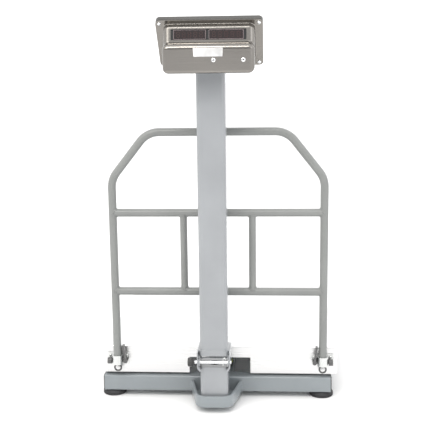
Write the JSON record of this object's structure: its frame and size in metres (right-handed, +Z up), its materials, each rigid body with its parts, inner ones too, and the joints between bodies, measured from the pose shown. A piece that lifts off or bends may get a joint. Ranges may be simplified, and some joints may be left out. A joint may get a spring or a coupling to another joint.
{
  "type": "animal weighing scale",
  "caption": "Low square platform on rubber feet with a lift-off guard rail at the back and a tilted indicator head on a square fold-down post.",
  "frame": {"origin": "on the floor, at the middle of the rectangle that the scale covers", "axes": "+Z up; -Y towards the post and the rear of the indicator; +Y towards the edge where the animal steps on; +X to the right of someone who stands behind the post"},
  "size_m": [0.606, 0.7712, 0.9482],
  "materials": {
    "black_rubber": "matt moulded rubber",
    "grey_paint": "semi-gloss grey powder paint",
    "post_paint": "smooth light grey paint",
    "rail_paint": "satin mid-grey paint on tube",
    "zinc": "bright zinc plate",
    "chrome": "polished",
    "platter_steel": "polished stainless sheet with fine grain",
    "head_steel": "brushed stainless sheet",
    "cell_alloy": "machined, clear anodised",
    "black_plastic": "moulded, fine texture",
    "black_steel": "black oxide and paint, satin",
    "window_red": "dark red filter sheet",
    "window_smoke": "smoked filter sheet",
    "display_grey": "moulded display body",
    "board_green": "solder-masked board",
    "key_blue": "soft-touch key",
    "key_red": "soft-touch key",
    "vial": "clear vial with tinted liquid"
  },
  "bodies": {
    "base": {"rear_beam": "grey_paint", "front_beam": "grey_paint", "spine": "grey_paint", "beam_caps": "black_plastic", "foot_bushes": "zinc", "nose_bracket": "grey_paint", "nose_floor": "grey_paint", "post_stub": "post_paint", "hinge_fork": "post_paint", "hinge_rod": "chrome", "split_pin": "zinc", "load_cell": "cell_alloy", "cell_spacer": "black_steel", "cell_bolts": "zinc", "cell_cable": "black_plastic", "frame_cross_tubes": "grey_paint", "frame_rails": "grey_paint", "frame_plate": "grey_paint", "platter_pads": "black_rubber", "overload_stops": "zinc", "bubble_level": "vial"},
    "platter": {"platter": "platter_steel", "rail_sockets": "zinc", "socket_screws": "zinc", "clamp_bolts": "black_steel", "eye_bolts": "black_steel"},
    "rail": {"guard_hoop": "rail_paint", "guard_bars": "rail_paint"},
    "lever_left": {"clamp_lever_left": "black_steel"},
    "lever_right": {"clamp_lever_right": "black_steel"},
    "post": {"post_tube": "post_paint", "hinge_shoe": "post_paint", "head_plate": "post_paint", "head_plate_screws": "zinc", "post_cable": "black_plastic", "cable_gland": "black_plastic", "head_rear_shell": "head_steel", "shell_screws": "chrome", "head_gasket": "black_rubber", "head_front_tray": "head_steel", "flange_screws": "chrome", "rear_window": "window_red", "rear_displays": "display_grey", "front_window": "window_smoke", "front_display": "display_grey", "circuit_board": "board_green", "battery": "display_grey"},
    "knob": {"hinge_knob": "black_plastic"},
    "key_zero": {"key_zero": "key_blue"},
    "key_tare": {"key_tare": "key_blue"},
    "key_unit": {"key_unit": "key_blue"},
    "key_power": {"key_power": "key_red"},
    "foot_rear_left": {"foot_pad_rear_left": "black_rubber", "foot_stud_rear_left": "zinc"},
    "foot_rear_right": {"foot_pad_rear_right": "black_rubber", "foot_stud_rear_right": "zinc"},
    "foot_front_left": {"foot_pad_front_left": "black_rubber", "foot_stud_front_left": "zinc"},
    "foot_front_right": {"foot_pad_front_right": "black_rubber", "foot_stud_front_right": "zinc"}
  },
  "joints": [
    {"name": "post_fold", "type": "hinge", "parent": "base", "child": "post", "pos_m": [0, -0.3275, 0.13], "axis": [1, 0, 0], "range_deg": [0, 90]},
    {"name": "platter_lift", "type": "slide", "parent": "base", "child": "platter", "axis": [0, 0, 1], "range_m": [0, 0.1]},
    {"name": "rail_lift", "type": "slide", "parent": "platter", "child": "rail", "axis": [0, 0, 1], "range_m": [0, 0.06]},
    {"name": "lever_left_swing", "type": "hinge", "parent": "platter", "child": "lever_left", "pos_m": [-0.2325, -0.2305, 0.0965], "axis": [0, 1, 0], "range_deg": [0, 100]},
    {"name": "lever_right_swing", "type": "hinge", "parent": "platter", "child": "lever_right", "pos_m": [0.2485, -0.2305, 0.0965], "axis": [0, -1, 0], "range_deg": [0, 100]},
    {"name": "knob_turn", "type": "hinge", "parent": "base", "child": "knob", "pos_m": [-0.056, -0.3275, 0.13], "axis": [1, 0, 0], "continuous": true},
    {"name": "key_zero_press", "type": "slide", "parent": "post", "child": "key_zero", "axis": [0, -0.7431, -0.6691], "range_m": [0, 0.001], "stiffness_N_per_m": 1500},
    {"name": "key_tare_press", "type": "slide", "parent": "post", "child": "key_tare", "axis": [0, -0.7431, -0.6691], "range_m": [0, 0.001], "stiffness_N_per_m": 1500},
    {"name": "key_unit_press", "type": "slide", "parent": "post", "child": "key_unit", "axis": [0, -0.7431, -0.6691], "range_m": [0, 0.001], "stiffness_N_per_m": 1500},
    {"name": "key_power_press", "type": "slide", "parent": "post", "child": "key_power", "axis": [0, -0.7431, -0.6691], "range_m": [0, 0.001], "stiffness_N_per_m": 1500},
    {"name": "foot_rear_left_turn", "type": "hinge", "parent": "base", "child": "foot_rear_left", "pos_m": [-0.268, -0.1995, 0], "axis": [0, 0, 1], "continuous": true},
    {"name": "foot_rear_right_turn", "type": "hinge", "parent": "base", "child": "foot_rear_right", "pos_m": [0.268, -0.1995, 0], "axis": [0, 0, 1], "continuous": true},
    {"name": "foot_front_left_turn", "type": "hinge", "parent": "base", "child": "foot_front_left", "pos_m": [-0.268, 0.3445, 0], "axis": [0, 0, 1], "continuous": true},
    {"name": "foot_front_right_turn", "type": "hinge", "parent": "base", "child": "foot_front_right", "pos_m": [0.268, 0.3445, 0], "axis": [0, 0, 1], "continuous": true}
  ]
}
